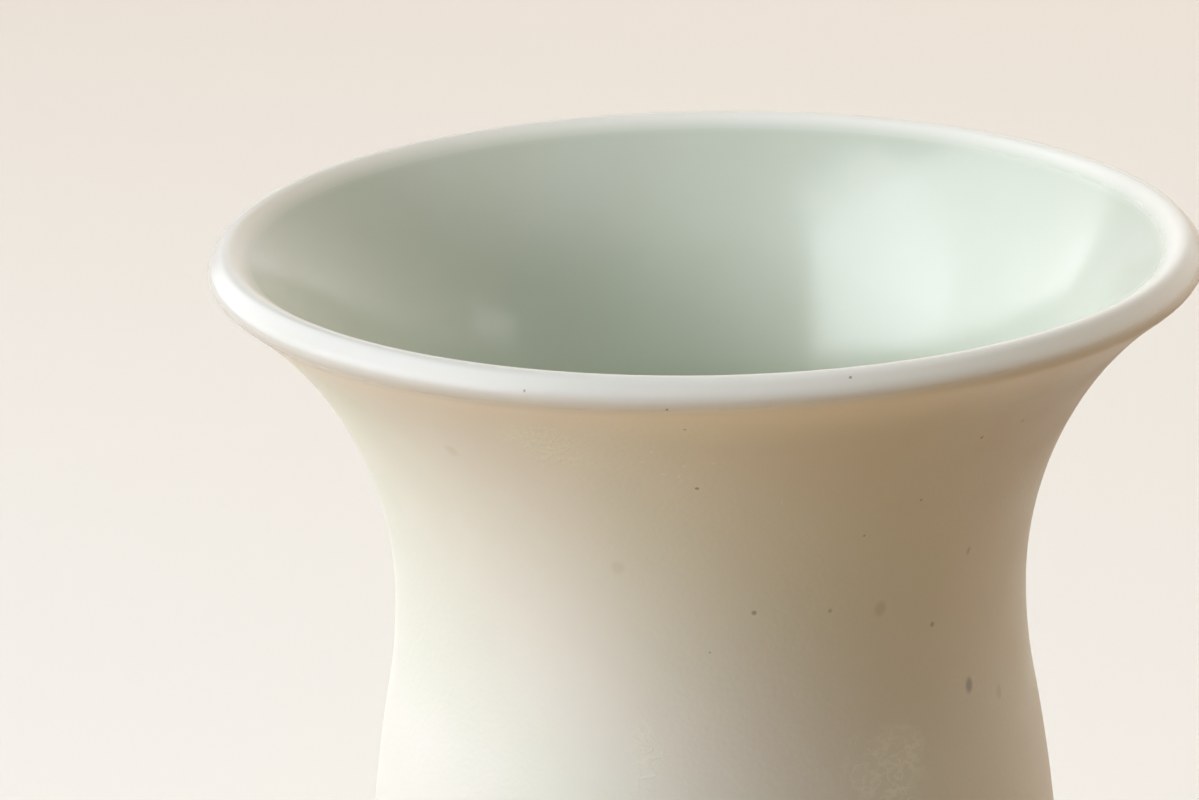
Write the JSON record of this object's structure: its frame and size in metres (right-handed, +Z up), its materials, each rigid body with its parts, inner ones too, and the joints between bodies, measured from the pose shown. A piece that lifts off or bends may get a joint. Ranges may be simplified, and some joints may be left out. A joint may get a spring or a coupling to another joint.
{
  "type": "porcelain vase",
  "caption": "Small porcelain vase with a wide flared mouth, beaded white lip, narrow waist and softly swelling body on a bare foot ring; celadon gloss inside, satin outside.",
  "frame": {"origin": "centre of the foot ring, on the surface that the vase stands on", "axes": "+Z up along the vase's axis, towards the mouth; X and Y are any two level directions, because the vase is round"},
  "size_m": [0.1, 0.1, 0.11],
  "materials": {
    "biscuit": "bare, fine matt, faintly toasted",
    "porcelain": "fired porcelain, under glaze",
    "slip": "fired slip, under glaze",
    "celadon_glaze": "gloss, pale grey-green",
    "satin_glaze": "satin, warm white",
    "white_glaze": "soft gloss, white"
  },
  "bodies": {
    "root": {"foot_ring": "biscuit", "lower_body": "porcelain", "upper_body": "porcelain", "mouth": "porcelain", "foot_slip": "slip", "belly_slip": "slip", "waist_slip": "slip", "inner_glaze": "celadon_glaze", "outer_glaze": "satin_glaze", "lip_glaze": "white_glaze", "base_glaze": "celadon_glaze"}
  },
  "joints": []
}
